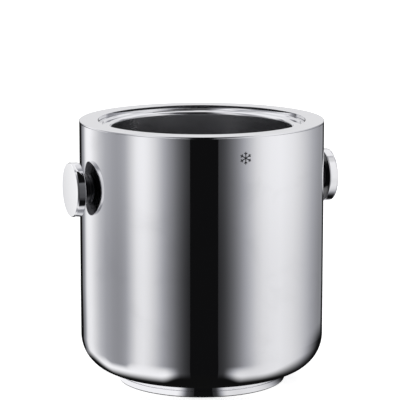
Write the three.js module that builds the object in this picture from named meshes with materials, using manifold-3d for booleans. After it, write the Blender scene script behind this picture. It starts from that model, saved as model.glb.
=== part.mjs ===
// Champagne bucket: polished double-walled steel body, lift-out liner and two knob handles.
// Millimetres, +Z up. The origin is on the table under the middle of the foot.
// The knobs stand out along +X and -X, and the front is -Y.

import * as THREE from 'three';
import { mergeVertices } from 'three/addons/utils/BufferGeometryUtils.js';
import Module from 'manifold-3d';

const wasm = await Module();
wasm.setup();

// Body shell
const bodyRadius = 110;
const bodyHeight = 238;
const shellSheet = 1.2;
const bottomCornerRadius = 32.3;

// Rim: a flat ring welded on top of the shell, stepped down to a seat for the liner
const rimSheet = 1.5;
const rimTopWidth = 16.9;
const rimSkirtDepth = 6.5;
const seatCollarDepth = 7.8;

// Lift-out liner
const linerSheet = 1.0;
const flangeWidth = 11.85;
const flangeDrop = 3.0;
const flangeLandWidth = 3.3;
const joggleDrop = 1.2;
const joggleRun = 0.8;
const lipRadius = 3.0;
const linerCornerRadius = 20;
const linerFloorLift = 12.5;

// Gasket under the liner's flange
const gasketInset = 0.6;
const gasketHeight = 2.1;

// Foot: a ring with a bead and a groove at its top, and a channel below for a rubber pad
const footInset = 1.9;
const footHeight = 10.5;
const footWall = 2.4;
const footChannelWidth = 7.2;
const footInnerWall = 1.2;
const footWeb = 1.6;
const footBeadHeight = 3.5;
const footGrooveHeight = 1.1;
const footGrooveDepth = 0.8;
const padProud = 1.0;
const padPlugHeight = 3.0;
const padEdgeInset = 0.5;

// Foot fasteners and the ring inside the shell that spreads their load
const footScrewCount = 3;
const footScrewRadius = 1.5;
const footScrewHeadRadius = 2.8;
const footScrewHeadHeight = 2.1;
const footScrewEnd = 1.0;
const footNutRadius = 3.2;
const footNutHeight = 2.4;
const footBackingThickness = 1.5;
const footBackingWidth = 8.0;

// Knob handles
const knobDrop = 57.2;
const knobRadius = 24.25;
const knobThickness = 8.0;
const knobStandoff = 6.0;
const knobEdge = 0.8;
const knobTapDepth = 5.0;
const neckEndRadius = 12.5;
const neckWaistRadius = 10.5;
const knobSeatRadius = 13.5;
const knobSeatThickness = 2.0;

// Knob fasteners, reached from inside the body
const knobScrewRadius = 3.0;
const knobScrewHeadRadius = 5.0;
const knobScrewHeadHeight = 3.5;
const knobScrewTipGap = 0.6;
const springWasherRadius = 5.4;
const springWasherThickness = 1.5;
const springWasherSlit = 0.9;
const backingDiscRadius = 17;
const backingDiscThickness = 3.5;

// Clearances
const fitGap = 0.3;
const flangeClearance = 0.4;
const collarClearance = 2.15;
const seatGap = 0.1;

// Fineness of round shapes, as the number of flat sides
const roundSides = 60;
const knobSides = 36;
const fastenerSides = 16;
const hexSides = 6;
const cornerSteps = 6;
const lipSteps = 3;
const waistSteps = 6;

// A cutter reaches this far past the faces it cuts
const cutterOverrun = 5;

// Vertices closer than this are one vertex
const weldDistance = 1e-4;

const quarterTurn = Math.PI / 2;

// Finishes
const polishedSteel = { color: 0xd2d3d6, roughness: 0.06, metalness: 1.0 };
const satinSteel = { color: 0xb4b6ba, roughness: 0.28, metalness: 1.0 };
const plainSteel = { color: 0x9c9ea2, roughness: 0.35, metalness: 1.0 };
const clearSilicone = { color: 0xc9cbc8, roughness: 0.5, metalness: 0.0 };
const blackRubber = { color: 0x1b1b1c, roughness: 0.8, metalness: 0.0 };

// Sizes worked out from the ones above
const shellInnerRadius = bodyRadius - shellSheet;
const shellTop = bodyHeight - rimSheet;
const shellFloorTop = footHeight + shellSheet;
const recessRadius = bodyRadius - rimTopWidth;
const flangeRadius = recessRadius - flangeClearance;
const linerRadius = flangeRadius - flangeWidth;
const linerOuterRadius = linerRadius + linerSheet;
const flangeTop = bodyHeight - flangeDrop;
const flangeUnderside = flangeTop - linerSheet;
const landEdge = flangeRadius - flangeLandWidth;
const gasketTop = flangeUnderside - seatGap;
const seatTop = gasketTop - gasketHeight;
const seatRadius = linerOuterRadius + collarClearance;
const flatFloorRadius = bodyRadius - bottomCornerRadius;
const footRadius = flatFloorRadius - footInset;
const channelOuterRadius = footRadius - footWall;
const channelInnerRadius = channelOuterRadius - footChannelWidth;
const channelMiddle = (channelOuterRadius + channelInnerRadius) / 2;
const footWebUnderside = footHeight - footWeb;
const footBackingTop = shellFloorTop + footBackingThickness;
const footScrewHole = footScrewRadius + fitGap;
const knobScrewHole = knobScrewRadius + fitGap;
const knobHeight = bodyHeight - knobDrop;
const knobBackFace = bodyRadius + knobStandoff;
const knobSeatFace = bodyRadius + knobSeatThickness;
const backingFace = shellInnerRadius - fitGap - backingDiscThickness;
const screwBearingFace = backingFace - springWasherThickness;

// Points along an arc in the profile plane, from one angle to another
function arc(centreRadius, centreHeight, radius, from, to, steps) {
  const points = [];
  for (let step = 0; step <= steps; step += 1) {
    const angle = from + ((to - from) * step) / steps;
    points.push([centreRadius + radius * Math.cos(angle), centreHeight + radius * Math.sin(angle)]);
  }
  return points;
}

// A solid of revolution about Z. Its profile is [radius, height] pairs, anticlockwise,
// and either starts and ends on the axis or is closed on itself by closedProfile.
function turned(profile, sides = roundSides) {
  const points = profile.map(([radius, height]) => new THREE.Vector2(radius, height));
  const geometry = new THREE.LatheGeometry(points, sides);
  geometry.rotateX(quarterTurn);
  return geometry;
}

function closedProfile(points) {
  return [...points, points[0]];
}

// A flat ring of rectangular section
function flatRing(innerRadius, outerRadius, bottom, top, sides = roundSides) {
  const corners = [
    [innerRadius, bottom],
    [outerRadius, bottom],
    [outerRadius, top],
    [innerRadius, top],
  ];
  return turned(closedProfile(corners), sides);
}

// An upright rod between two heights
function rod(radius, bottom, top, sides = fastenerSides) {
  const geometry = new THREE.CylinderGeometry(radius, radius, top - bottom, sides);
  geometry.rotateX(quarterTurn);
  geometry.translate(0, 0, (top + bottom) / 2);
  return geometry;
}

// Lays an upright shape along +X (side 1) or -X (side -1)
function laidOutward(geometry, side) {
  return geometry.rotateY(side * quarterTurn);
}

function solidFrom(geometry) {
  const bare = geometry.clone();
  bare.deleteAttribute('normal');
  bare.deleteAttribute('uv');
  const merged = mergeVertices(bare, weldDistance);
  const corners = merged.index.array;
  const triangles = [];
  for (let start = 0; start < corners.length; start += 3) {
    const [a, b, c] = corners.subarray(start, start + 3);
    if (a !== b && b !== c && c !== a) {
      triangles.push(a, b, c);
    }
  }
  const mesh = new wasm.Mesh({
    numProp: 3,
    vertProperties: new Float32Array(merged.attributes.position.array),
    triVerts: Uint32Array.from(triangles),
  });
  return new wasm.Manifold(mesh);
}

function geometryFrom(solid) {
  const mesh = solid.getMesh();
  const geometry = new THREE.BufferGeometry();
  geometry.setAttribute('position', new THREE.BufferAttribute(mesh.vertProperties, 3));
  geometry.setIndex(new THREE.BufferAttribute(mesh.triVerts, 1));
  geometry.computeVertexNormals();
  return geometry;
}

function withCuts(geometry, cutters) {
  let solid = solidFrom(geometry);
  for (const cutter of cutters) {
    solid = solid.subtract(solidFrom(cutter));
  }
  return geometryFrom(solid);
}

function withinBoth(geometry, limit) {
  return geometryFrom(solidFrom(geometry).intersect(solidFrom(limit)));
}

// The places of the foot screws, round the middle of the foot's channel
function footScrewPlaces() {
  const places = [];
  for (let index = 0; index < footScrewCount; index += 1) {
    const angle = quarterTurn + (index * 2 * Math.PI) / footScrewCount;
    places.push([channelMiddle * Math.cos(angle), channelMiddle * Math.sin(angle)]);
  }
  return places;
}

function footScrewHoles(bottom, top) {
  return footScrewPlaces().map(([x, y]) => {
    const hole = rod(footScrewHole, bottom - cutterOverrun, top + cutterOverrun);
    return hole.translate(x, y, 0);
  });
}

// The spun body: straight wall, one large bottom corner and a flat floor
function outerShell() {
  const cornerHeight = footHeight + bottomCornerRadius;
  const innerCorner = bottomCornerRadius - shellSheet;
  const profile = [
    [0, footHeight],
    ...arc(flatFloorRadius, cornerHeight, bottomCornerRadius, -quarterTurn, 0, cornerSteps),
    [bodyRadius, shellTop],
    [shellInnerRadius, shellTop],
    ...arc(flatFloorRadius, cornerHeight, innerCorner, 0, -quarterTurn, cornerSteps),
    [0, shellFloorTop],
  ];
  const holes = footScrewHoles(footHeight, shellFloorTop);
  for (const side of [1, -1]) {
    const hole = laidOutward(rod(knobScrewHole, 0, bodyRadius + cutterOverrun), side);
    holes.push(hole.translate(0, 0, knobHeight));
  }
  return withCuts(turned(profile), holes);
}

// The top ring: a skirt inside the shell, the flat top, the recess wall, the seat and its collar
function rimRing() {
  const skirtRadius = shellInnerRadius - fitGap;
  const collarRadius = seatRadius + rimSheet;
  return turned(closedProfile([
    [skirtRadius - rimSheet, shellTop - rimSkirtDepth],
    [skirtRadius, shellTop - rimSkirtDepth],
    [skirtRadius, shellTop],
    [bodyRadius, shellTop],
    [bodyRadius, bodyHeight],
    [recessRadius, bodyHeight],
    [recessRadius, seatTop],
    [seatRadius, seatTop],
    [seatRadius, seatTop - seatCollarDepth],
    [collarRadius, seatTop - seatCollarDepth],
    [collarRadius, seatTop - rimSheet],
    [recessRadius + rimSheet, seatTop - rimSheet],
    [recessRadius + rimSheet, shellTop],
    [skirtRadius - rimSheet, shellTop],
  ]));
}

// The deep-drawn liner: stepped flange, rolled lip, straight wall and rounded floor
function innerLiner() {
  const lipCentreRadius = linerRadius + lipRadius;
  const lipCentreHeight = flangeTop - joggleDrop - lipRadius;
  const floorUnderside = shellFloorTop + linerFloorLift;
  const floorTop = floorUnderside + linerSheet;
  const cornerRadius = linerRadius - linerCornerRadius;
  const cornerHeight = floorTop + linerCornerRadius;
  const outerCorner = linerCornerRadius + linerSheet;
  const outerLip = lipRadius - linerSheet;
  return turned([
    [0, floorUnderside],
    ...arc(cornerRadius, cornerHeight, outerCorner, -quarterTurn, 0, cornerSteps),
    ...arc(lipCentreRadius, lipCentreHeight, outerLip, 2 * quarterTurn, quarterTurn, lipSteps),
    [landEdge - joggleRun, flangeUnderside - joggleDrop],
    [landEdge, flangeUnderside],
    [flangeRadius, flangeUnderside],
    [flangeRadius, flangeTop],
    [landEdge, flangeTop],
    [landEdge - joggleRun, flangeTop - joggleDrop],
    ...arc(lipCentreRadius, lipCentreHeight, lipRadius, quarterTurn, 2 * quarterTurn, lipSteps),
    ...arc(cornerRadius, cornerHeight, linerCornerRadius, 0, -quarterTurn, cornerSteps),
    [0, floorTop],
  ]);
}

function linerGasket() {
  return flatRing(landEdge + gasketInset, recessRadius - fitGap, seatTop, gasketTop);
}

// The foot: bead and groove outside, an open channel underneath for the pad
function footRing() {
  const grooveTop = footHeight - footBeadHeight;
  const grooveBottom = grooveTop - footGrooveHeight;
  const grooveRadius = footRadius - footGrooveDepth;
  const profile = closedProfile([
    [channelOuterRadius, padProud],
    [footRadius, padProud],
    [footRadius, grooveBottom],
    [grooveRadius, grooveBottom],
    [grooveRadius, grooveTop],
    [footRadius, grooveTop],
    [footRadius, footHeight],
    [channelInnerRadius - footInnerWall, footHeight],
    [channelInnerRadius - footInnerWall, padProud],
    [channelInnerRadius, padProud],
    [channelInnerRadius, footWebUnderside],
    [channelOuterRadius, footWebUnderside],
  ]);
  return withCuts(turned(profile), footScrewHoles(footWebUnderside, footHeight));
}

// The rubber pad: a plug that presses into the foot's channel and a flange that meets the table
function footPad() {
  const plugTop = padProud + padPlugHeight;
  return turned(closedProfile([
    [channelInnerRadius - footInnerWall, 0],
    [footRadius - padEdgeInset, 0],
    [footRadius - padEdgeInset, padProud],
    [channelOuterRadius - fitGap, padProud],
    [channelOuterRadius - fitGap, plugTop],
    [channelInnerRadius + fitGap, plugTop],
    [channelInnerRadius + fitGap, padProud],
    [channelInnerRadius - footInnerWall, padProud],
  ]));
}

function footBackingRing() {
  const innerRadius = channelMiddle - footBackingWidth / 2;
  const outerRadius = channelMiddle + footBackingWidth / 2;
  const ring = flatRing(innerRadius, outerRadius, shellFloorTop, footBackingTop);
  return withCuts(ring, footScrewHoles(shellFloorTop, footBackingTop));
}

// A socket-head screw, standing head down with its bearing face at height 0
function socketScrew(radius, length, headRadius, headHeight) {
  const body = turned([
    [0, -headHeight],
    [headRadius, -headHeight],
    [headRadius, 0],
    [radius, 0],
    [radius, length],
    [0, length],
  ], fastenerSides);
  const socket = rod(headRadius / 2, -headHeight - cutterOverrun, -headHeight / 2, hexSides);
  return withCuts(body, [socket]);
}

function hexNut(radius, height, holeRadius) {
  const hole = rod(holeRadius, -cutterOverrun, height + cutterOverrun);
  return withCuts(rod(radius, 0, height, hexSides), [hole]);
}

// The gripping disc, with a blind hole in its back for the screw
function knobHead(side) {
  const head = turned([
    [0, knobTapDepth],
    [knobScrewHole, knobTapDepth],
    [knobScrewHole, 0],
    [knobRadius - knobEdge, 0],
    [knobRadius, knobEdge],
    [knobRadius, knobThickness - knobEdge],
    [knobRadius - knobEdge, knobThickness],
    [0, knobThickness],
  ], knobSides);
  return laidOutward(head.translate(0, 0, knobBackFace), side);
}

// The waisted neck between the wall seat and the disc
function knobNeck(side) {
  const length = knobBackFace - knobSeatFace;
  const flank = [];
  for (let step = 0; step <= waistSteps; step += 1) {
    const along = step / waistSteps;
    const dip = (neckEndRadius - neckWaistRadius) * Math.sin(Math.PI * along);
    flank.push([neckEndRadius - dip, along * length]);
  }
  const profile = closedProfile([[knobScrewHole, 0], ...flank, [knobScrewHole, length]]);
  const neck = turned(profile, knobSides);
  return laidOutward(neck.translate(0, 0, knobSeatFace), side);
}

// The round seat whose inner face is hollowed to the body's curve
function knobSeat(side) {
  const blank = rod(knobSeatRadius, shellInnerRadius - knobSeatThickness, knobSeatFace, knobSides);
  const bodyCurve = rod(bodyRadius + fitGap, -bodyRadius, bodyRadius, roundSides);
  const hole = laidOutward(rod(knobScrewHole, 0, knobSeatFace + cutterOverrun), side);
  return withCuts(laidOutward(blank, side), [bodyCurve, hole]);
}

// The disc inside the wall, curved to it on one face and flat for the washer on the other
function backingDisc(side) {
  const blank = laidOutward(rod(backingDiscRadius, backingFace, bodyRadius, knobSides), side);
  const wallCurve = rod(shellInnerRadius - fitGap, -bodyRadius, bodyRadius, roundSides);
  const hole = laidOutward(rod(knobScrewHole, 0, bodyRadius + cutterOverrun), side);
  return withCuts(withinBoth(blank, wallCurve), [hole]);
}

function springWasher(side) {
  const ring = flatRing(knobScrewHole, springWasherRadius, screwBearingFace, backingFace, fastenerSides);
  const slit = new THREE.BoxGeometry(springWasherRadius * 2, springWasherSlit, backingFace * 2);
  slit.translate(springWasherRadius, 0, backingFace);
  return laidOutward(withCuts(ring, [slit]), side);
}

function knobScrew(side) {
  const tip = knobBackFace + knobTapDepth - knobScrewTipGap;
  const length = tip - screwBearingFace;
  const screw = socketScrew(knobScrewRadius, length, knobScrewHeadRadius, knobScrewHeadHeight);
  return laidOutward(screw.translate(0, 0, screwBearingFace), side);
}

const bucket = new THREE.Group();

function addPiece(name, geometry, finish, position = [0, 0, 0]) {
  const mesh = new THREE.Mesh(geometry, new THREE.MeshStandardMaterial(finish));
  mesh.name = name;
  mesh.position.set(...position);
  bucket.add(mesh);
}

addPiece('outer_shell', outerShell(), polishedSteel);
addPiece('rim_ring', rimRing(), polishedSteel);
addPiece('inner_liner', innerLiner(), satinSteel);
addPiece('liner_gasket', linerGasket(), clearSilicone);
addPiece('foot_ring', footRing(), polishedSteel);
addPiece('foot_pad', footPad(), blackRubber);
addPiece('foot_backing_ring', footBackingRing(), plainSteel);

const footScrewLength = footBackingTop + footNutHeight + footScrewEnd - footWebUnderside;
footScrewPlaces().forEach(([x, y], index) => {
  const screw = socketScrew(
    footScrewRadius, footScrewLength, footScrewHeadRadius, footScrewHeadHeight);
  const nut = hexNut(footNutRadius, footNutHeight, footScrewHole);
  addPiece(`foot_screw_${index + 1}`, screw, plainSteel, [x, y, footWebUnderside]);
  addPiece(`foot_nut_${index + 1}`, nut, plainSteel, [x, y, footBackingTop]);
});

for (const [word, side] of [['right', 1], ['left', -1]]) {
  const place = [0, 0, knobHeight];
  addPiece(`knob_head_${word}`, knobHead(side), polishedSteel, place);
  addPiece(`knob_neck_${word}`, knobNeck(side), polishedSteel, place);
  addPiece(`knob_seat_${word}`, knobSeat(side), polishedSteel, place);
  addPiece(`knob_screw_${word}`, knobScrew(side), plainSteel, place);
  addPiece(`knob_spring_washer_${word}`, springWasher(side), plainSteel, place);
  addPiece(`knob_backing_disc_${word}`, backingDisc(side), plainSteel, place);
}

export default bucket;
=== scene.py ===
# A polished steel champagne bucket with a lift-out liner, put together from its pieces.
# Metres, +Z up, knobs on +X and -X, front on -Y.
import math

import bpy
from mathutils import Matrix, Vector


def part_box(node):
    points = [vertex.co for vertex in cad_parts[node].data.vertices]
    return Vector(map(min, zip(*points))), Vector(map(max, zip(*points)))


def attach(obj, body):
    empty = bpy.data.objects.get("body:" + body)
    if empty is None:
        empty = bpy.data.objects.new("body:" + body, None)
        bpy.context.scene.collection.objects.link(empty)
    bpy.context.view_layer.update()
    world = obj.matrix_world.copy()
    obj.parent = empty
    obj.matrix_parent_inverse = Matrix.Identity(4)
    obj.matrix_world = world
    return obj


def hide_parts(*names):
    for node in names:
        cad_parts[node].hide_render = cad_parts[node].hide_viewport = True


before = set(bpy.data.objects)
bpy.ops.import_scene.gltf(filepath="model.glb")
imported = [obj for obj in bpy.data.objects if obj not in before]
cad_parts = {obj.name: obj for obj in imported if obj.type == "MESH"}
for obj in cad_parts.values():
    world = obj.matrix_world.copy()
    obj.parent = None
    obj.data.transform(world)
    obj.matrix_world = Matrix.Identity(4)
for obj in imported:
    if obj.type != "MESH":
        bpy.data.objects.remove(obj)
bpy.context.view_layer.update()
mm = 0.001


# ---- Camera ----
# A long lens a little above the rim, looking slightly down, from the left of the front.
camera_azimuth = math.radians(-20)
camera_pitch = math.radians(10.23)
camera_distance = 1.98
camera_height = 0.5214
camera_side_step = -0.0015
camera_right = Vector((math.cos(camera_azimuth), math.sin(camera_azimuth), 0))
camera_back = Vector((math.sin(camera_azimuth), -math.cos(camera_azimuth), 0))
camera_data = bpy.data.cameras.new("camera")
camera_data.sensor_width = 36
camera_data.lens = 200.25
camera = bpy.data.objects.new("camera", camera_data)
camera.location = camera_back * camera_distance + camera_right * camera_side_step
camera.location.z = camera_height
camera.rotation_euler = (math.pi / 2 - camera_pitch, 0, camera_azimuth)
bpy.context.scene.collection.objects.link(camera)
bpy.context.scene.camera = camera
bpy.context.scene.view_settings.view_transform = "Standard"


# ---- Floor ----
# A plain white sweep. The steel is lit by the tent below, so mirrors don't show the floor.
floor_size = 12
bpy.ops.object.select_all(action="DESELECT")
bpy.ops.mesh.primitive_plane_add(size=floor_size, location=(0, 0, 0))
floor = bpy.context.object
floor.name = "floor"
floor.visible_glossy = False
floor_paint = bpy.data.materials.new("floor_paint")
floor_paint.use_nodes = True
floor_shader = floor_paint.node_tree.nodes["Principled BSDF"]
floor_shader.inputs["Base Color"].default_value = (0.86, 0.86, 0.86, 1)
floor_shader.inputs["Roughness"].default_value = 0.9
floor_shader.inputs["Emission Color"].default_value = (1, 1, 1, 1)
floor_shader.inputs["Emission Strength"].default_value = 0.8
floor.data.materials.append(floor_paint)


# ---- Light tent ----
# A tall glowing drum round the object, open at the top: bright panels to both sides, darker
# cloth between them, and a narrow black card in front that also lies along the ground.
tent_radius = 0.45
tent_top = 2.2
tent_sink = 0.5 * mm
card_from = -9.4
card_to = 13.4
card_glow = 0.006
ground_spread = 0.062
back_glow = 0.735
overhead_glow = 1.05
ring_bright = 1.12
# azimuth from the camera in degrees, and the glow there
panels_left = [
    (-180, 0.735), (-161, 0.735), (-160, 0.006), (-142, 0.006), (-139.5, 0.23), (-135.7, 0.272),
    (-132.1, 0.42), (-127.5, 0.82), (-124.8, 0.96), (-120.8, 1.005), (-117.3, 1.01),
    (-114.1, 0.969), (-99.7, 0.604), (-90.7, 0.444), (-81.5, 0.367), (-76.1, 0.348),
    (-71.5, 0.367), (-67.6, 0.425), (-65, 0.509), (-55.8, 0.903), (-52.9, 0.964),
    (-49.1, 0.979), (-45.9, 0.938), (-42.7, 0.863), (-38.2, 0.719), (-31.3, 0.441),
    (-27, 0.303), (-20.3, 0.145), (-17.1, 0.093), (-13.8, 0.054), (-10.1, 0.028),
]
panels_right = [
    (0, 0.028), (14.6, 0.032), (17.8, 0.05), (19.5, 0.064), (22, 0.094), (25.3, 0.145),
    (27.8, 0.195), (31.2, 0.279), (46.3, 0.757), (52.4, 0.88), (59.3, 0.945), (69.8, 0.97),
    (83.4, 0.878), (92.8, 0.764), (114.1, 0.454), (123.4, 0.358), (132.2, 0.292),
    (144, 0.28), (145.5, 0.012), (158, 0.012), (159, 0.735), (180, 0.735),
]
bpy.ops.object.select_all(action="DESELECT")
bpy.ops.mesh.primitive_cylinder_add(
    vertices=128, radius=tent_radius, depth=tent_top, end_fill_type="NGON",
    location=(0, 0, tent_top / 2 - tent_sink))
tent = bpy.context.object
tent.name = "light_tent"
bpy.ops.object.transform_apply(location=True)
bpy.ops.object.mode_set(mode="EDIT")
bpy.ops.mesh.select_all(action="DESELECT")
bpy.ops.object.mode_set(mode="OBJECT")
for face in tent.data.polygons:
    face.select = face.normal.z > 0.5
bpy.ops.object.mode_set(mode="EDIT")
bpy.ops.mesh.delete(type="FACE")
bpy.ops.object.mode_set(mode="OBJECT")
tent.visible_camera = False
tent.visible_shadow = False

tent_cloth = bpy.data.materials.new("tent_cloth")
tent_cloth.use_nodes = True
tent_nodes = tent_cloth.node_tree.nodes
tent_links = tent_cloth.node_tree.links
tent_nodes.clear()


def tent_set(socket, value):
    """Gives a socket a number, or links another socket to it."""
    if isinstance(value, (int, float)):
        socket.default_value = value
    else:
        tent_links.new(value, socket)


def tent_math(operation, *values):
    """A math node in the tent's cloth; each value is a number or a socket."""
    node = tent_nodes.new("ShaderNodeMath")
    node.operation = operation
    for socket, value in zip(node.inputs, values):
        tent_set(socket, value)
    return node.outputs[0]


def tent_fade(value, start, end, first=0.0, last=1.0):
    """Goes smoothly from first to last as the value goes from start to end."""
    node = tent_nodes.new("ShaderNodeMapRange")
    node.interpolation_type = "SMOOTHSTEP"
    for name, setting in (("Value", value), ("From Min", start), ("From Max", end),
                          ("To Min", first), ("To Max", last)):
        tent_set(node.inputs[name], setting)
    return node.outputs["Result"]


def tent_mix(factor, first, second):
    """Mixes two glows."""
    node = tent_nodes.new("ShaderNodeMix")
    for socket, value in zip(node.inputs[0:1] + node.inputs[2:4], (factor, first, second)):
        tent_set(socket, value)
    return node.outputs[0]


def tent_place():
    """Distance from the axis, azimuth from the camera in degrees, and height."""
    place = tent_nodes.new("ShaderNodeTexCoord")
    turn = tent_nodes.new("ShaderNodeMapping")
    turn.vector_type = "TEXTURE"
    turn.inputs["Rotation"].default_value = (0, 0, camera_azimuth)
    axes = tent_nodes.new("ShaderNodeSeparateXYZ")
    tent_links.new(place.outputs["Object"], turn.inputs["Vector"])
    tent_links.new(turn.outputs["Vector"], axes.inputs["Vector"])
    aside, away, height = axes.outputs
    from_axis = tent_math("SQRT", tent_math("ADD", tent_math("POWER", aside, 2.0),
                                            tent_math("POWER", away, 2.0)))
    azimuth = tent_math("DEGREES", tent_math("ARCTAN2", aside, tent_math("MULTIPLY", away, -1.0)))
    # the panels' stripes run on along the ground, spreading towards the object
    spread = tent_math("SUBTRACT", tent_math("DIVIDE", 1.0, from_axis), 1 / tent_radius)
    azimuth = tent_math("MULTIPLY", azimuth, tent_math("MULTIPLY_ADD", spread, ground_spread, 1.0))
    return from_axis, azimuth, height


def tent_ramp(stops):
    """The glow of a run of panels, straight from stop to stop."""
    ramp = tent_nodes.new("ShaderNodeValToRGB")
    points = ramp.color_ramp.elements
    while len(points) < len(stops):
        points.new(0.5)
    for point, (degrees, glow) in zip(points, stops):
        point.position = (degrees + 180) / 360
        point.color = (glow, glow, glow, 1)
    tent_links.new(tent_math("MULTIPLY_ADD", azimuth, 1 / 360, 0.5), ramp.inputs["Fac"])
    return ramp.outputs["Color"]


from_axis, azimuth, tent_height = tent_place()
turned_away = tent_math("ABSOLUTE", azimuth)
panel_glow = tent_mix(tent_math("GREATER_THAN", azimuth, 0.0),
                      tent_ramp(panels_left), tent_ramp(panels_right))
# The black strips that edge the panels behind the object end a little above its rim.
above_strips = tent_math("MULTIPLY", tent_fade(tent_height, 0.26, 0.30),
                         tent_fade(turned_away, 140, 150))
panel_glow = tent_mix(above_strips, panel_glow, back_glow)

# The panels are a little brighter higher up.
higher = tent_fade(tent_height, 0.02, 0.17)
panel_glow = tent_math("MULTIPLY",
                       tent_math("POWER", panel_glow, tent_math("MULTIPLY_ADD", higher, -0.1, 1.0)),
                       tent_math("MULTIPLY_ADD", higher, 0.1, 1.0))

# Higher still it is bright behind, and dark cloths hang to the right of the front.
high_behind = tent_math("MULTIPLY", tent_fade(tent_height, 0.38, 0.50),
                        tent_fade(turned_away, 108, 124))
panel_glow = tent_mix(high_behind, panel_glow, overhead_glow)
canopy = tent_math("MULTIPLY", tent_fade(tent_height, 0.46, 0.54),
                   tent_fade(azimuth, 46, 56, 1.0, 0.0))
high_canopy = tent_math("MULTIPLY", tent_fade(tent_height, 0.98, 1.02),
                        tent_fade(azimuth, 110, 114, 1.0, 0.0))
soft_canopy = tent_math("MULTIPLY", tent_fade(tent_height, 0.60, 0.95),
                        tent_fade(azimuth, 46, 100, 1.0, 0.0))
canopy = tent_math("MAXIMUM", canopy, tent_math("MAXIMUM", high_canopy, soft_canopy))
canopy = tent_math("MULTIPLY", canopy, tent_fade(azimuth, 5, 12))
panel_glow = tent_mix(canopy, panel_glow, card_glow)

# On the ground, a bright ring lies round the object.
on_ground = tent_math("LESS_THAN", tent_height, 0.001)
ring_right = tent_math("MULTIPLY", tent_fade(azimuth, 17, 32),
                       tent_fade(azimuth, 32, 62, 0.75, 0.0))
ring_right = tent_math("MAXIMUM", ring_right, tent_fade(azimuth, 150, 180))
ring_side = tent_math("MAXIMUM", tent_fade(azimuth, -17, -32), ring_right)
# it is narrower where it crosses the grey cloth at the left
at_grey = tent_math("MULTIPLY", tent_fade(azimuth, -60, -70), tent_fade(azimuth, -98, -86))
ring_start = tent_math("MULTIPLY_ADD", at_grey, -0.024, 0.160)
ring_glow = tent_math("MULTIPLY", ring_side, tent_fade(from_axis, ring_start, 0.112))
ground_glow = tent_mix(ring_glow, panel_glow, ring_bright)
behind_right = tent_math("MULTIPLY", tent_fade(azimuth, 95, 140),
                         tent_fade(azimuth, 150, 180, 1.0, 0.0))
behind_right = tent_math("MULTIPLY", behind_right, tent_fade(from_axis, 0.30, 0.22))
ground_glow = tent_mix(behind_right, ground_glow, card_glow)
cloth_glow = tent_mix(on_ground, panel_glow, ground_glow)
in_card = tent_math("MULTIPLY", tent_math("GREATER_THAN", azimuth, card_from),
                    tent_math("LESS_THAN", azimuth, card_to))
cloth_glow = tent_mix(in_card, cloth_glow, card_glow)
tent_light = tent_nodes.new("ShaderNodeEmission")
# dim cloth is a little cooler than bright cloth
tent_tint = tent_nodes.new("ShaderNodeMix")
tent_tint.data_type = "RGBA"
tent_tint.inputs["A"].default_value = (0.935, 0.945, 1.0, 1)
tent_tint.inputs["B"].default_value = (0.99, 0.99, 1.0, 1)
tent_links.new(tent_fade(cloth_glow, 0.4, 0.9), tent_tint.inputs["Factor"])
tent_links.new(tent_tint.outputs["Result"], tent_light.inputs["Color"])
tent_output = tent_nodes.new("ShaderNodeOutputMaterial")
tent_links.new(cloth_glow, tent_light.inputs["Strength"])
tent_links.new(tent_light.outputs["Emission"], tent_output.inputs["Surface"])
tent.data.materials.append(tent_cloth)

# A black ring card close under the body, seen only in reflections, which keeps the turn of its
# bottom corner crisp: painted shade standing in for the shaded ground under the body.
shade_height = 10.8 * mm
shade_inner = 0.083
shade_outer = 0.150
bpy.ops.object.select_all(action="DESELECT")
bpy.ops.mesh.primitive_circle_add(vertices=128, radius=shade_outer, fill_type="NGON",
                                  location=(0, 0, shade_height))
shade = bpy.context.object
shade.name = "shade_card"
bpy.ops.object.transform_apply(location=True)
bpy.ops.object.mode_set(mode="EDIT")
bpy.ops.mesh.inset(thickness=shade_outer - shade_inner)
bpy.ops.mesh.delete(type="FACE")
bpy.ops.object.mode_set(mode="OBJECT")
for unseen in ("camera", "diffuse", "shadow", "transmission"):
    setattr(shade, f"visible_{unseen}", False)
shade_card = bpy.data.materials.new("shade_card")
shade_card.use_nodes = True
tent_nodes = shade_card.node_tree.nodes
tent_links = shade_card.node_tree.links
tent_nodes.clear()
from_axis, azimuth = tent_place()[:2]
turned_away = tent_math("ABSOLUTE", azimuth)
# it reaches out further at the left, fades out more slowly at the right, and flares in front
at_left = tent_fade(azimuth, -84, -125)
at_right = tent_fade(azimuth, 50, 115)
in_front = tent_fade(turned_away, 34, 16, 0.0, 0.010)
cover_start = tent_math("ADD", in_front, tent_math("MULTIPLY_ADD", at_left, 0.016, 0.094))
cover_end = tent_math("ADD", in_front, tent_math("MULTIPLY_ADD", at_left, 0.031, 0.110))
cover_end = tent_math("MULTIPLY_ADD", at_right, 0.036, cover_end)
card_cover = tent_fade(from_axis, cover_start, cover_end, 1.0, 0.0)
card_clear = tent_nodes.new("ShaderNodeBsdfTransparent")
card_black = tent_nodes.new("ShaderNodeEmission")
card_black.inputs["Strength"].default_value = card_glow
card_mix = tent_nodes.new("ShaderNodeMixShader")
card_output = tent_nodes.new("ShaderNodeOutputMaterial")
tent_links.new(card_cover, card_mix.inputs["Fac"])
tent_links.new(card_clear.outputs["BSDF"], card_mix.inputs[1])
tent_links.new(card_black.outputs["Emission"], card_mix.inputs[2])
tent_links.new(card_mix.outputs["Shader"], card_output.inputs["Surface"])
shade.data.materials.append(shade_card)

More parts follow.
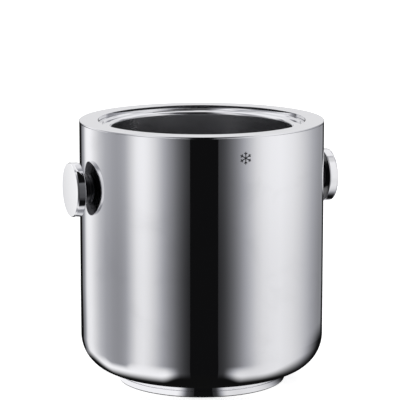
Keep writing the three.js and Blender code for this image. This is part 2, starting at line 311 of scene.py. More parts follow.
# The studio beyond the tent: white to the eye, and a dimmer soft light from overhead.
studio = bpy.data.worlds.new("studio")
bpy.context.scene.world = studio
studio.use_nodes = True
studio_nodes = studio.node_tree.nodes
studio_links = studio.node_tree.links
studio_light = studio_nodes["Background"]
eye_ray = studio_nodes.new("ShaderNodeLightPath")
studio_strength = studio_nodes.new("ShaderNodeMapRange")
studio_strength.inputs["To Min"].default_value = 0.55
studio_strength.inputs["To Max"].default_value = 1.1
studio_links.new(eye_ray.outputs["Is Camera Ray"], studio_strength.inputs["Value"])
studio_links.new(studio_strength.outputs["Result"], studio_light.inputs["Strength"])
studio_light.inputs["Color"].default_value = (1, 1, 1, 1)


# ---- Body shell ----
# Spun from 1.2 mm stainless sheet: a straight wall, one large bottom corner and a flat floor.
# Mirror polished outside on a buffing lathe, which leaves faint lines round the axis.
# Bored for the two knob screws and the three screws of the foot.
shell_sheet = 1.2 * mm
shell_corner = 32.3 * mm
shell_low, shell_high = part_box("outer_shell")
body_radius = shell_high.x
shell_inner = body_radius - shell_sheet
knob_low, knob_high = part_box("knob_head_right")
knob_height = (knob_low.z + knob_high.z) / 2
knob_bore = 3.3 * mm
foot_bore = 1.8 * mm
foot_screw_angles = [math.radians(degrees) for degrees in (90, 210, 330)]
foot_screw_circle = 69.8 * mm


def rounded(corners, closed=True, hold=0.15 * mm, turn=math.radians(10)):
    """The outline through (radius, height, fillet) corners, with an arc at each fillet.

    A point is held close to each end of a straight run, so that flat faces shade flat.
    """
    outline = []
    count = len(corners)
    for index, (radius, height, fillet) in enumerate(corners):
        corner = Vector((radius, height))
        at_end = not closed and index in (0, count - 1)
        if at_end or fillet == 0:
            outline.append(corner)
            continue
        before = (Vector(corners[index - 1][:2]) - corner).normalized()
        after = (Vector(corners[(index + 1) % count][:2]) - corner).normalized()
        angle = before.angle(after)
        reach = fillet / math.tan(angle / 2)
        centre = corner + (before + after).normalized() * fillet / math.sin(angle / 2)
        start = corner + before * reach - centre
        swept = start.angle_signed(corner + after * reach - centre)
        steps = max(3, round(abs(swept) / turn))
        outline.append(corner + before * (reach + hold))
        for step in range(steps + 1):
            outline.append(centre + Matrix.Rotation(-swept * step / steps, 2) @ start)
        outline.append(corner + after * (reach + hold))
    if closed:
        outline.append(outline[0])
    return outline


def turned(name, outline, steps=256, along_x=False, centre=(0, 0, 0)):
    """Draws an outline of (radius, along) points and spins it about Z, or about X."""
    def place(point):
        radius, along = point
        return Vector(centre) + (Vector((along, 0, radius)) if along_x
                                 else Vector((radius, 0, along)))

    bpy.ops.object.select_all(action="DESELECT")
    bpy.ops.mesh.primitive_plane_add(size=mm, location=(0, 0, 0))
    piece = bpy.context.object
    piece.name = name
    piece.data.name = name
    bpy.ops.object.mode_set(mode="EDIT")
    bpy.ops.mesh.select_all(action="SELECT")
    bpy.ops.mesh.merge(type="CENTER")
    bpy.ops.transform.translate(value=place(outline[0]))
    for start, end in zip(outline, outline[1:]):
        bpy.ops.mesh.extrude_region_move(
            TRANSFORM_OT_translate={"value": place(end) - place(start)})
    bpy.ops.mesh.select_all(action="SELECT")
    axis = (1, 0, 0) if along_x else (0, 0, 1)
    bpy.ops.mesh.spin(steps=steps, angle=2 * math.pi, center=centre, axis=axis)
    bpy.ops.mesh.select_all(action="SELECT")
    bpy.ops.mesh.remove_doubles(threshold=0.004 * mm)
    bpy.ops.mesh.normals_make_consistent(inside=False)
    bpy.ops.object.mode_set(mode="OBJECT")
    bpy.ops.object.shade_smooth()
    return piece


def bar(sides, radius, low, high, turn=0.0, along_x=False):
    """A plain bar between two places, to cut or trim another piece with."""
    low, high = Vector(low), Vector(high)
    bpy.ops.object.select_all(action="DESELECT")
    bpy.ops.mesh.primitive_cylinder_add(
        vertices=sides, radius=radius, depth=(high - low).length, location=(low + high) / 2,
        rotation=(0, math.pi / 2, 0) if along_x else (0, 0, turn))
    bpy.ops.object.transform_apply(location=True, rotation=True)
    return bpy.context.object


def machined(piece, tool, operation="DIFFERENCE", sharp=math.radians(40)):
    """Cuts the tool out of a piece, or with INTERSECT keeps what is inside the tool."""
    bpy.ops.object.select_all(action="DESELECT")
    piece.select_set(True)
    bpy.context.view_layer.objects.active = piece
    cut = piece.modifiers.new("cut", "BOOLEAN")
    cut.operation = operation
    cut.solver = "EXACT"
    cut.object = tool
    bpy.ops.object.modifier_apply(modifier="cut")
    bpy.data.objects.remove(tool)
    bpy.ops.object.shade_smooth_by_angle(angle=sharp)


def steel(name, tone, gloss, line_depth, smudge=0.03, lathe_height=None):
    """Turned stainless steel: lines round the lathe's axis, and cloudy handling marks.

    The axis is Z, or the level line along X at a lathe_height.
    """
    material = bpy.data.materials.new(name)
    material.use_nodes = True
    nodes = material.node_tree.nodes
    links = material.node_tree.links
    shader = nodes["Principled BSDF"]
    shader.inputs["Metallic"].default_value = 1.0
    place = nodes.new("ShaderNodeTexCoord")
    on_axis = nodes.new("ShaderNodeMapping")
    on_axis.vector_type = "TEXTURE"
    if lathe_height is not None:
        on_axis.inputs["Location"].default_value = (0, 0, lathe_height)
        on_axis.inputs["Rotation"].default_value = (0, math.pi / 2, 0)
    links.new(place.outputs["Object"], on_axis.inputs["Vector"])
    axes = nodes.new("ShaderNodeSeparateXYZ")
    links.new(on_axis.outputs["Vector"], axes.inputs["Vector"])
    across = nodes.new("ShaderNodeCombineXYZ")
    links.new(axes.outputs["X"], across.inputs["X"])
    links.new(axes.outputs["Y"], across.inputs["Y"])
    radius = nodes.new("ShaderNodeVectorMath")
    radius.operation = "LENGTH"
    links.new(across.outputs["Vector"], radius.inputs[0])
    round_axis = nodes.new("ShaderNodeCombineXYZ")
    links.new(radius.outputs["Value"], round_axis.inputs["X"])
    links.new(axes.outputs["Z"], round_axis.inputs["Z"])
    lines = nodes.new("ShaderNodeTexNoise")
    lines.inputs["Scale"].default_value = 1800
    lines.inputs["Detail"].default_value = 3
    links.new(round_axis.outputs["Vector"], lines.inputs["Vector"])
    clouds = nodes.new("ShaderNodeTexNoise")
    clouds.inputs["Scale"].default_value = 22
    clouds.inputs["Detail"].default_value = 5
    clouds.inputs["Distortion"].default_value = 0.6
    links.new(on_axis.outputs["Vector"], clouds.inputs["Vector"])
    marks = nodes.new("ShaderNodeMapRange")
    marks.interpolation_type = "SMOOTHSTEP"
    marks.inputs["From Min"].default_value = 0.52
    marks.inputs["From Max"].default_value = 0.78
    links.new(clouds.outputs["Fac"], marks.inputs["Value"])
    haze = nodes.new("ShaderNodeMath")
    haze.operation = "MULTIPLY_ADD"
    haze.inputs[1].default_value = smudge
    haze.inputs[2].default_value = gloss
    links.new(marks.outputs["Result"], haze.inputs[0])
    rough = nodes.new("ShaderNodeMath")
    rough.operation = "MULTIPLY_ADD"
    rough.inputs[1].default_value = gloss * 0.5
    links.new(lines.outputs["Fac"], rough.inputs[0])
    links.new(haze.outputs[0], rough.inputs[2])
    links.new(rough.outputs[0], shader.inputs["Roughness"])
    tint = nodes.new("ShaderNodeMix")
    tint.data_type = "RGBA"
    tint.inputs["A"].default_value = (*tone, 1)
    tint.inputs["B"].default_value = (*(0.95 * value for value in tone), 1)
    links.new(marks.outputs["Result"], tint.inputs["Factor"])
    links.new(tint.outputs["Result"], shader.inputs["Base Color"])
    bump = nodes.new("ShaderNodeBump")
    bump.inputs["Strength"].default_value = line_depth
    bump.inputs["Distance"].default_value = 0.02 * mm
    links.new(lines.outputs["Fac"], bump.inputs["Height"])
    links.new(bump.outputs["Normal"], shader.inputs["Normal"])
    return material


def fitted(piece, material, body, node):
    """Gives a piece its material, and puts it on its body in its node's place."""
    piece.data.materials.clear()
    piece.data.materials.append(material)
    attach(piece, body)
    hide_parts(node)


def bores(places):
    """Round tools at (radius, low, high) places, joined into one."""
    tools = [bar(48, *place) for place in places]
    for tool in tools:
        tool.select_set(True)
    bpy.context.view_layer.objects.active = tools[0]
    bpy.ops.object.join()
    return tools[0]


mirror_steel = steel("mirror_steel", (0.79, 0.79, 0.81), 0.03, 0.02)
shell_floor = shell_low.z + shell_sheet
bore_clear = 7 * mm
shell_outline = rounded([
    (0, shell_low.z, 0),
    (foot_screw_circle - bore_clear, shell_low.z, 0),
    (foot_screw_circle + bore_clear, shell_low.z, 0),
    (body_radius, shell_low.z, shell_corner),
    (body_radius, knob_height - bore_clear, 0),
    (body_radius, knob_height + bore_clear, 0),
    (body_radius, shell_high.z, 0.1 * mm),
    (shell_inner, shell_high.z, 0.1 * mm),
    (shell_inner, knob_height + bore_clear, 0),
    (shell_inner, knob_height - bore_clear, 0),
    (shell_inner, shell_floor, shell_corner - shell_sheet),
    (foot_screw_circle + bore_clear, shell_floor, 0),
    (foot_screw_circle - bore_clear, shell_floor, 0),
    (0, shell_floor, 0),
], closed=False, turn=math.radians(4))
body_shell = turned("body_shell", shell_outline)
foot_screw_places = [(foot_screw_circle * math.cos(angle), foot_screw_circle * math.sin(angle))
                     for angle in foot_screw_angles]
machined(body_shell, bores([
    (foot_bore, (x, y, shell_low.z - 2 * mm), (x, y, shell_floor + 2 * mm))
    for x, y in foot_screw_places]))
for side in (-1, 1):
    machined(body_shell, bar(48, knob_bore, (side * (shell_inner - 3 * mm), 0, knob_height),
                             (side * (body_radius + 3 * mm), 0, knob_height), along_x=True))
fitted(body_shell, mirror_steel, "bucket_body", "outer_shell")


# ---- Rim ring ----
# Turned from thicker stock and welded into the shell's mouth, then polished flush with it.
# A recess steps down inside the flat top to the seat where the liner's flange rests.
rim_low, rim_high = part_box("rim_ring")
liner_low, liner_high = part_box("inner_liner")
rim_sheet = 1.5 * mm
rim_recess = liner_high.x + 0.4 * mm
rim_seat_drop = 6.2 * mm
rim_collar = 84.0 * mm
rim_skirt = shell_inner - 0.3 * mm
rim_skirt_low = shell_high.z - 6.5 * mm
rim_seat = rim_high.z - rim_seat_drop
rim_top = turned("rim_top_ring", rounded([
    (rim_skirt - rim_sheet, rim_skirt_low, 0.2 * mm),
    (rim_skirt, rim_skirt_low, 0.2 * mm),
    (rim_skirt, shell_high.z, 0),
    (body_radius, shell_high.z, 0),
    (body_radius, rim_high.z, 0.45 * mm),
    (rim_recess, rim_high.z, 0.35 * mm),
    (rim_recess, rim_seat, 0.5 * mm),
    (rim_collar, rim_seat, 0.4 * mm),
    (rim_collar, rim_low.z, 0.3 * mm),
    (rim_collar + rim_sheet, rim_low.z, 0.3 * mm),
    (rim_collar + rim_sheet, rim_seat - rim_sheet, 0.5 * mm),
    (rim_recess + rim_sheet, rim_seat - rim_sheet, 0.5 * mm),
    (rim_recess + rim_sheet, shell_high.z, 0.5 * mm),
    (rim_skirt - rim_sheet, shell_high.z, 0.5 * mm),
]))
fitted(rim_top, mirror_steel, "bucket_body", "rim_ring")


# ---- Liner gasket ----
# A moulded silicone ring that lies in the rim's recess under the liner's flange.
# Two soft lips on top stop the liner rattling and keep meltwater out of the body.
gasket_low, gasket_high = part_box("liner_gasket")
gasket_inner = gasket_high.x - 2.8 * mm
gasket_lip = 0.5 * mm
gasket_groove = gasket_high.z - 0.6 * mm
gasket_middle = (gasket_inner + gasket_high.x) / 2
gasket = turned("liner_gasket_ring", rounded([
    (gasket_inner, gasket_low.z, 0.25 * mm),
    (gasket_high.x, gasket_low.z, 0.25 * mm),
    (gasket_high.x, gasket_high.z, 0.3 * mm),
    (gasket_high.x - 2 * gasket_lip, gasket_high.z, 0.2 * mm),
    (gasket_middle, gasket_groove, 0.2 * mm),
    (gasket_inner + 2 * gasket_lip, gasket_high.z, 0.2 * mm),
    (gasket_inner, gasket_high.z, 0.3 * mm),
], hold=0.02 * mm, turn=math.radians(25)))


def moulded(name, dark, light, gloss, grain, depth, sheen=0.0):
    """A moulded rubber: a fine skin grain, and a slow change of tone from handling."""
    material = bpy.data.materials.new(name)
    material.use_nodes = True
    nodes = material.node_tree.nodes
    links = material.node_tree.links
    shader = nodes["Principled BSDF"]
    shader.inputs["Sheen Weight"].default_value = sheen
    place = nodes.new("ShaderNodeTexCoord")
    skin = nodes.new("ShaderNodeTexNoise")
    skin.inputs["Scale"].default_value = grain
    skin.inputs["Detail"].default_value = 4
    links.new(place.outputs["Object"], skin.inputs["Vector"])
    wear = nodes.new("ShaderNodeTexNoise")
    wear.inputs["Scale"].default_value = 60
    wear.inputs["Detail"].default_value = 3
    links.new(place.outputs["Object"], wear.inputs["Vector"])
    tone = nodes.new("ShaderNodeMix")
    tone.data_type = "RGBA"
    tone.inputs["A"].default_value = (*dark, 1)
    tone.inputs["B"].default_value = (*light, 1)
    links.new(wear.outputs["Fac"], tone.inputs["Factor"])
    links.new(tone.outputs["Result"], shader.inputs["Base Color"])
    rough = nodes.new("ShaderNodeMath")
    rough.operation = "MULTIPLY_ADD"
    rough.inputs[1].default_value = 0.2
    rough.inputs[2].default_value = gloss
    links.new(skin.outputs["Fac"], rough.inputs[0])
    links.new(rough.outputs[0], shader.inputs["Roughness"])
    bump = nodes.new("ShaderNodeBump")
    bump.inputs["Strength"].default_value = depth
    bump.inputs["Distance"].default_value = 0.05 * mm
    links.new(skin.outputs["Fac"], bump.inputs["Height"])
    links.new(bump.outputs["Normal"], shader.inputs["Normal"])
    return material


clear_silicone = moulded("milky_silicone", (0.50, 0.52, 0.53), (0.64, 0.66, 0.67), 0.35, 2500, 0.3)
fitted(gasket, clear_silicone, "bucket_body", "liner_gasket")


# ---- Lift-out liner ----
# Deep drawn from 1 mm stainless sheet, with a stepped flange, a rolled lip and a satin inside.
# It drops into the rim's recess and lifts straight out for filling and washing.
liner_sheet = 1.0 * mm
liner_wall = liner_high.x - 11.85 * mm
flange_land = 3.3 * mm
flange_step = 1.2 * mm
flange_step_run = 0.8 * mm
liner_lip = 3.0 * mm
liner_corner = 20.0 * mm
land_edge = liner_high.x - flange_land
step_foot = land_edge - flange_step_run
upper_face = liner_high.z
lower_face = liner_high.z - flange_step
satin_steel = steel("satin_steel", (0.66, 0.66, 0.675), 0.16, 0.5, smudge=0.08)
liner = turned("lift_out_liner", rounded([
    (0, liner_low.z, 0),
    (liner_wall + liner_sheet, liner_low.z, liner_corner + liner_sheet),
    (liner_wall + liner_sheet, lower_face - liner_sheet, liner_lip - liner_sheet),
    (step_foot, lower_face - liner_sheet, 0.3 * mm),
    (land_edge, upper_face - liner_sheet, 0.3 * mm),
    (liner_high.x, upper_face - liner_sheet, 0.25 * mm),
    (liner_high.x, upper_face, 0.25 * mm),
    (land_edge, upper_face, 0.3 * mm),
    (step_foot, lower_face, 0.3 * mm),
    (liner_wall, lower_face, liner_lip),
    (liner_wall, liner_low.z + liner_sheet, liner_corner),
    (0, liner_low.z + liner_sheet, 0),
], closed=False, turn=math.radians(6)))
fitted(liner, satin_steel, "liner", "inner_liner")
liner.data.materials.append(mirror_steel)
polished_from = lower_face - liner_lip
for face in liner.data.polygons:
    if face.center.z > polished_from and face.center.xy.length > liner_wall + 0.2 * mm:
        face.material_index = 1


# ---- Foot ring ----
# Pressed from stainless sheet as a channel, open below, with a bead and a groove under the body.
# Screwed up to the body's floor through three holes in the channel's top.
foot_low, foot_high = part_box("foot_ring")
foot_outer = foot_high.x
foot_bead = 3.5 * mm
foot_groove_width = 1.1 * mm
foot_groove_depth = 0.8 * mm
foot_channel_outer = 73.4 * mm
foot_channel_inner = 66.2 * mm
foot_inner = 65.0 * mm
foot_ceiling = foot_high.z - 1.6 * mm
groove_high = foot_high.z - foot_bead
groove_low = groove_high - foot_groove_width
groove_radius = foot_outer - foot_groove_depth
foot_band = turned("foot_band", rounded([
    (foot_inner, foot_low.z, 0.25 * mm),
    (foot_channel_inner, foot_low.z, 0.25 * mm),
    (foot_channel_inner, foot_ceiling, 0.4 * mm),
    (foot_channel_outer, foot_ceiling, 0.4 * mm),
    (foot_channel_outer, foot_low.z, 0.25 * mm),
    (foot_outer, foot_low.z, 0.4 * mm),
    (foot_outer, groove_low, 0.3 * mm),
    (groove_radius, groove_low, 0.15 * mm),
    (groove_radius, groove_high, 0.15 * mm),
    (foot_outer, groove_high, 0.3 * mm),
    (foot_outer, foot_high.z, 0.3 * mm),
    (foot_inner, foot_high.z, 0.4 * mm),
], hold=0.05 * mm, turn=math.radians(15)))
machined(foot_band, bores([
    (foot_bore, (x, y, foot_ceiling - 2 * mm), (x, y, foot_high.z + 2 * mm))
    for x, y in foot_screw_places]))
fitted(foot_band, mirror_steel, "bucket_body", "foot_ring")


# ---- Foot pad ----
# A moulded black rubber ring whose plug presses up into the foot's channel.
# Fine ribs round its underside grip the table and let it dry.
pad_low, pad_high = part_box("foot_pad")
pad_outer = pad_high.x
pad_inner = 65.0 * mm
pad_plug_inner = 66.5 * mm
pad_plug_outer = 73.1 * mm
pad_flange = 1.0 * mm
rib_count = 5
rib_depth = 0.35 * mm
rib_pitch = (pad_outer - pad_inner) / rib_count
pad_ribs = []
for rib in range(rib_count):
    rib_start = pad_inner + rib * rib_pitch
    pad_ribs.append((rib_start + 0.1 * rib_pitch, pad_low.z, 0.15 * mm))
    pad_ribs.append((rib_start + 0.6 * rib_pitch, pad_low.z, 0.15 * mm))
    if rib < rib_count - 1:
        pad_ribs.append((rib_start + 0.7 * rib_pitch, rib_depth, 0.1 * mm))
        pad_ribs.append((rib_start + 1.0 * rib_pitch, rib_depth, 0.1 * mm))
foot_rubber = turned("foot_rubber_ring", rounded([
    *pad_ribs,
    (pad_outer, rib_depth, 0.1 * mm),
    (pad_outer, pad_flange, 0.2 * mm),
    (pad_plug_outer, pad_flange, 0.1 * mm),
    (pad_plug_outer, pad_high.z, 0.5 * mm),
    (pad_plug_inner, pad_high.z, 0.5 * mm),
    (pad_plug_inner, pad_flange, 0.1 * mm),
    (pad_inner, pad_flange, 0.2 * mm),
    (pad_inner, rib_depth, 0.1 * mm),
], hold=0.02 * mm, turn=math.radians(30)))
black_rubber = moulded("black_rubber", (0.012, 0.012, 0.013), (0.035, 0.035, 0.036),
                       0.55, 3000, 0.8, sheen=0.15)
fitted(foot_rubber, black_rubber, "bucket_body", "foot_pad")


# ---- Foot screws, nuts and backing ring ----
# Three M3 socket screws come up through the foot and the floor, into nuts on a backing ring.
# Plain stainless: a turned ring with broken edges, rolled threads, chamfered hexagon nuts.
backing_low, backing_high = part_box("foot_backing_ring")
backing_ring = turned("foot_backing_washer", rounded([
    (backing_high.x - 8.0 * mm, backing_low.z, 0.2 * mm),
    (backing_high.x, backing_low.z, 0.2 * mm),
    (backing_high.x, backing_high.z, 0.4 * mm),
    (backing_high.x - 8.0 * mm, backing_high.z, 0.4 * mm),
], hold=0.05 * mm, turn=math.radians(20)))
machined(backing_ring, bores([
    (foot_bore, (x, y, backing_low.z - 2 * mm), (x, y, backing_high.z + 2 * mm))
    for x, y in foot_screw_places]))
plain_steel = steel("plain_steel", (0.60, 0.60, 0.61), 0.22, 0.4, smudge=0.12)
fitted(backing_ring, plain_steel, "bucket_body", "foot_backing_ring")


def thread(start, end, crest, pitch):
    """The outline of a rolled thread from start to end, crests and roots in turn."""
    half_turns = int((end - start) / (pitch / 2))
    depth = 0.3 * pitch
    return [(crest - depth * (turn % 2), start + turn * pitch / 2, 0)
            for turn in range(half_turns + 1)]


def copied(piece, name, angle):
    """A copy of a piece with its own mesh, turned about the body's axis."""
    bpy.ops.object.select_all(action="DESELECT")
    piece.select_set(True)
    bpy.context.view_layer.objects.active = piece
    bpy.ops.object.duplicate(linked=False)
    twin = bpy.context.object
    twin.name = name
    twin.data.name = name
    twin.rotation_euler.z = angle
    bpy.ops.object.transform_apply(rotation=True)
    return twin


screw_low, screw_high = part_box("foot_screw_1")
nut_low, nut_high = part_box("foot_nut_1")
foot_thread = 1.5 * mm
foot_head = 2.8 * mm
foot_pitch = 0.5 * mm
foot_socket = 1.45 * mm
screw_bearing = foot_ceiling
screw_x, screw_y = foot_screw_places[0]
screw_place = (screw_x, screw_y, 0)
screw = turned("foot_socket_screw_1", rounded([
    (0, screw_low.z, 0),
    (foot_head, screw_low.z, 0.3 * mm),
    (foot_head, screw_bearing, 0.1 * mm),
    (foot_thread, screw_bearing, 0),
    *thread(screw_bearing + 1.5 * mm, screw_high.z - 0.5 * mm, foot_thread, foot_pitch),
    (foot_thread - 0.4 * mm, screw_high.z, 0),
    (0, screw_high.z, 0),
], closed=False, hold=0.02 * mm), steps=48, centre=screw_place)
machined(screw, bar(6, foot_socket, (screw_x, screw_y, screw_low.z - mm),
                    (screw_x, screw_y, screw_low.z + 1.3 * mm)))
nut_corner = 3.2 * mm
nut_chamfer = 0.35 * mm
nut = turned("foot_nut_blank_1", rounded([
    (foot_thread, nut_low.z + nut_chamfer, 0),
    (foot_thread + nut_chamfer, nut_low.z, 0),
    (nut_corner - nut_chamfer, nut_low.z, 0),
    (nut_corner, nut_low.z + nut_chamfer, 0),
    (nut_corner, nut_high.z - nut_chamfer, 0),
    (nut_corner - nut_chamfer, nut_high.z, 0),
    (foot_thread + nut_chamfer, nut_high.z, 0),
    (foot_thread, nut_high.z - nut_chamfer, 0),
]), steps=48, centre=screw_place)
machined(nut, bar(6, nut_corner, (screw_x, screw_y, nut_low.z - mm),
                  (screw_x, screw_y, nut_high.z + mm)), "INTERSECT")
nut.name = "foot_hex_nut_1"
foot_screws, foot_nuts = [screw], [nut]
for number, angle in enumerate(foot_screw_angles[1:], start=2):
    turn = angle - foot_screw_angles[0]
    foot_screws.append(copied(screw, f"foot_socket_screw_{number}", turn))
    foot_nuts.append(copied(nut, f"foot_hex_nut_{number}", turn))
for number in (2, 3, 1):
    fitted(foot_screws[number - 1], plain_steel, "bucket_body", f"foot_screw_{number}")
    fitted(foot_nuts[number - 1], plain_steel, "bucket_body", f"foot_nut_{number}")


# ---- Carrying knobs ----
# Each is a turned solid steel disc on a waisted neck, with a seat ring shaped to the wall.
# A screw from inside holds it all, through a backing disc and a spring washer.
head_radius = (knob_high.z - knob_low.z) / 2
head_back, head_face = knob_low.x, knob_high.x
head_edge = 0.8 * mm
head_taper = 1.5 * mm
knob_thread = 3.0 * mm
knob_blind = 5.0 * mm
on_knob = (0, 0, knob_height)
knob_steel = steel("knob_steel", (0.795, 0.795, 0.81), 0.03, 0.03, lathe_height=knob_height)
knob_plain = steel("knob_plain_steel", (0.60, 0.60, 0.61), 0.22, 0.4, smudge=0.12,
                   lathe_height=knob_height)
# the disc's outer face gets a brighter copy of the same steel: a painted highlight
knob_face_painted_highlight = steel("knob_face_painted_highlight_steel", (0.99, 0.99, 1.0), 0.03, 0.03, lathe_height=knob_height)
# the disc's back, the neck and the seat get a near-black copy of the steel: painted shade in the
# gap between the disc and the wall
knob_painted_shade = steel("knob_back_painted_shade_steel", (0.10, 0.10, 0.105), 0.25, 0.3, smudge=0.1,
                  lathe_height=knob_height)
knob_pieces = []
head = turned("knob_disc_right", rounded([
    (0, head_back + knob_blind, 0),
    (knob_thread, head_back + knob_blind - mm, 0),
    (knob_thread, head_back, 0),
    (head_radius, head_back, head_edge),
    (head_radius, head_face - head_taper, 0.4 * mm),
    (head_radius - head_taper / 3, head_face, 0.35 * mm),
    (0, head_face, 0),
], closed=False, turn=math.radians(9)), steps=192, along_x=True, centre=on_knob)
knob_pieces.append((head, knob_steel, "knob_head", "polished_steel"))

neck_low, neck_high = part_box("knob_neck_right")
neck_end = (neck_high.z - neck_low.z) / 2
neck_waist = 2.0 * mm
waist_steps = 16
neck = turned("knob_waist_right", [
    (knob_bore, neck_low.x),
    (neck_end - 0.1 * mm, neck_low.x),
    *((neck_end - neck_waist * math.sin(math.pi * step / waist_steps),
       neck_low.x + (neck_high.x - neck_low.x) * step / waist_steps)
      for step in range(waist_steps + 1)),
    (neck_end - 0.1 * mm, neck_high.x),
    (knob_bore, neck_high.x),
    (knob_bore, neck_low.x),
], steps=128, along_x=True, centre=on_knob)
knob_pieces.append((neck, knob_painted_shade, "knob_neck", "polished_steel"))

seat_low, seat_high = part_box("knob_seat_right")
seat_radius = (seat_high.z - seat_low.z) / 2
wall_fit = 0.08 * mm
seat = turned("knob_seat_ring_right", rounded([
    (knob_bore, body_radius - 4 * mm, 0),
    (seat_radius, body_radius - 4 * mm, 0),
    (seat_radius, seat_high.x, 0.4 * mm),
    (knob_bore, seat_high.x, 0.1 * mm),
], hold=0.05 * mm, turn=math.radians(15)), steps=128, along_x=True, centre=on_knob)
machined(seat, bar(512, body_radius + wall_fit, (0, 0, knob_height - 30 * mm),
                   (0, 0, knob_height + 30 * mm)))
knob_pieces.append((seat, knob_painted_shade, "knob_seat", "polished_steel"))

disc_low, disc_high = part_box("knob_backing_disc_right")
backing_radius = (disc_high.z - disc_low.z) / 2
backing = turned("knob_backing_plate_right", rounded([
    (knob_bore, disc_low.x, 0.1 * mm),
    (knob_bore, body_radius + mm, 0),
    (backing_radius, body_radius + mm, 0),
    (backing_radius, disc_low.x, 0.4 * mm),
], hold=0.05 * mm, turn=math.radians(15)), steps=128, along_x=True, centre=on_knob)
machined(backing, bar(512, shell_inner - 0.3 * mm, (0, 0, knob_height - 30 * mm),
                      (0, 0, knob_height + 30 * mm)), "INTERSECT")
knob_pieces.append((backing, knob_plain, "knob_backing_disc", "plain_steel"))

washer_low, washer_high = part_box("knob_spring_washer_right")
washer_outer = (washer_high.z - washer_low.z) / 2
washer_slit = 0.9 * mm
washer = turned("knob_split_washer_right", rounded([
    (knob_bore, washer_low.x, 0.15 * mm),
    (washer_outer, washer_low.x, 0.15 * mm),
    (washer_outer, washer_high.x, 0.15 * mm),
    (knob_bore, washer_high.x, 0.15 * mm),
], hold=0.02 * mm, turn=math.radians(30)), steps=64, along_x=True, centre=on_knob)
bpy.ops.object.select_all(action="DESELECT")
bpy.ops.mesh.primitive_cube_add(size=1, location=(washer_low.x, 0, knob_height + washer_outer))
slit_tool = bpy.context.object
slit_tool.scale = (8 * mm, washer_slit, 2 * (washer_outer - knob_bore) + 2 * mm)
slit_tool.rotation_euler = (0, 0, math.radians(20))
bpy.ops.object.transform_apply(location=True, rotation=True, scale=True)
machined(washer, slit_tool)
knob_pieces.append((washer, knob_plain, "knob_spring_washer", "plain_steel"))

bolt_low, bolt_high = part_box("knob_screw_right")
bolt_head = (bolt_high.z - bolt_low.z) / 2
bolt_bearing = washer_low.x
bolt = turned("knob_socket_screw_right", rounded([
    (0, bolt_low.x, 0),
    (bolt_head, bolt_low.x, 0.5 * mm),
    (bolt_head, bolt_bearing, 0.15 * mm),
    (knob_thread, bolt_bearing, 0),
    *thread(bolt_bearing + 6 * mm, bolt_high.x - 0.8 * mm, knob_thread, mm),
    (knob_thread - 0.8 * mm, bolt_high.x, 0),
    (0, bolt_high.x, 0),
], closed=False, hold=0.03 * mm), steps=64, along_x=True, centre=on_knob)
machined(bolt, bar(6, 2.6 * mm, (bolt_low.x - mm, 0, knob_height),
                   (bolt_low.x + 2.2 * mm, 0, knob_height), along_x=True))
knob_pieces.append((bolt, knob_plain, "knob_screw", "plain_steel"))

for piece, material, node, slot in knob_pieces:
    left_piece = copied(piece, piece.name.replace("_right", "_left"), math.pi)
    fitted(left_piece, material, "bucket_body", f"{node}_left")
    fitted(piece, material, "bucket_body", f"{node}_right")
    if node == "knob_head":
        # each disc's back face takes the painted shade, and its outer face the painted highlight
        for disc in (left_piece, piece):
            disc.data.materials.append(knob_painted_shade)
            disc.data.materials.append(knob_face_painted_highlight)
            for face in disc.data.polygons:
                if abs(face.center.x) < head_back + 0.1 * mm:
                    face.material_index = 1
                elif abs(face.center.x) > head_face - 0.1 * mm:
                    face.material_index = 2


# ---- Maker's mark ----
# A small frost crystal etched into the front of the wall below the rim, and blackened.
# It is a thin skin laid on the polish: three crossed strokes with a chevron at every tip.
mark_height = 11.0 * mm
mark_stroke = 0.85 * mm
mark_centre = 219.0 * mm
mark_skin = 0.03 * mm
mark_cuts = 9
mark_cut_pitch = 1.1 * mm
mark_parts = []


def mark_stroke_at(x, z, length, angle):
    """One stroke of the mark, drawn flat in front of the wall."""
    bpy.ops.object.select_all(action="DESELECT")
    bpy.ops.mesh.primitive_cube_add(size=1, location=(x, -body_radius - mm, mark_centre + z))
    stroke = bpy.context.object
    stroke.scale = (mark_stroke, 0.2 * mm, length)
    stroke.rotation_euler = (0, angle, 0)
    bpy.ops.object.transform_apply(location=True, rotation=True, scale=True)
    return stroke


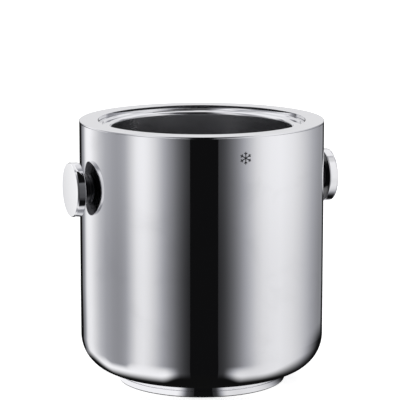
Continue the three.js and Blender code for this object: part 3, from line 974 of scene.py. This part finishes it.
for arm in range(6):
    arm_angle = arm * math.pi / 3
    tip = Vector((math.sin(arm_angle), math.cos(arm_angle)))
    middle = tip * mark_height / 4
    mark_parts.append(mark_stroke_at(middle.x, middle.y, mark_height / 2, arm_angle))
    for lean in (-1, 1):
        barb_angle = arm_angle + lean * math.radians(50)
        barb = Vector((math.sin(barb_angle), math.cos(barb_angle)))
        place = tip * mark_height * 0.30 + barb * mark_height * 0.08
        mark_parts.append(mark_stroke_at(place.x, place.y, mark_height * 0.17, barb_angle))
mark = mark_parts[0]
for stroke in mark_parts[1:]:
    machined(mark, stroke, "UNION")
mark.name = "front_mark"
mark.data.name = "front_mark"
bpy.ops.object.select_all(action="DESELECT")
mark.select_set(True)
bpy.context.view_layer.objects.active = mark
bpy.ops.object.mode_set(mode="EDIT")
bpy.ops.mesh.select_all(action="SELECT")
for cut in range(mark_cuts):
    bpy.ops.mesh.select_all(action="SELECT")
    cut_place = (cut - (mark_cuts - 1) // 2) * mark_cut_pitch
    bpy.ops.mesh.bisect(plane_co=(cut_place, 0, 0), plane_no=(1, 0, 0))
bpy.ops.mesh.select_all(action="SELECT")
bpy.ops.mesh.remove_doubles(threshold=0.005 * mm)
bpy.ops.mesh.dissolve_degenerate(threshold=0.005 * mm)
bpy.ops.mesh.quads_convert_to_tris()
bpy.ops.object.mode_set(mode="OBJECT")
for corner in mark.data.vertices:
    out = mark_skin if corner.co.y < -body_radius - mm else -mark_skin
    angle = corner.co.x / body_radius
    corner.co.x = (body_radius + out) * math.sin(angle)
    corner.co.y = -(body_radius + out) * math.cos(angle)

etch = bpy.data.materials.new("blackened_etch")
etch.use_nodes = True
etch_nodes = etch.node_tree.nodes
etch_links = etch.node_tree.links
etch_shader = etch_nodes["Principled BSDF"]
etch_shader.inputs["Metallic"].default_value = 0.3
etch_place = etch_nodes.new("ShaderNodeTexCoord")
etch_grain = etch_nodes.new("ShaderNodeTexNoise")
etch_grain.inputs["Scale"].default_value = 4000
etch_grain.inputs["Detail"].default_value = 2
etch_links.new(etch_place.outputs["Object"], etch_grain.inputs["Vector"])
etch_tone = etch_nodes.new("ShaderNodeMix")
etch_tone.data_type = "RGBA"
etch_tone.inputs["A"].default_value = (0.008, 0.008, 0.010, 1)
etch_tone.inputs["B"].default_value = (0.035, 0.035, 0.040, 1)
etch_links.new(etch_grain.outputs["Fac"], etch_tone.inputs["Factor"])
etch_links.new(etch_tone.outputs["Result"], etch_shader.inputs["Base Color"])
etch_rough = etch_nodes.new("ShaderNodeMath")
etch_rough.operation = "MULTIPLY_ADD"
etch_rough.inputs[1].default_value = 0.3
etch_rough.inputs[2].default_value = 0.4
etch_links.new(etch_grain.outputs["Fac"], etch_rough.inputs[0])
etch_links.new(etch_rough.outputs[0], etch_shader.inputs["Roughness"])
mark.data.materials.clear()
mark.data.materials.append(etch)
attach(mark, "bucket_body")
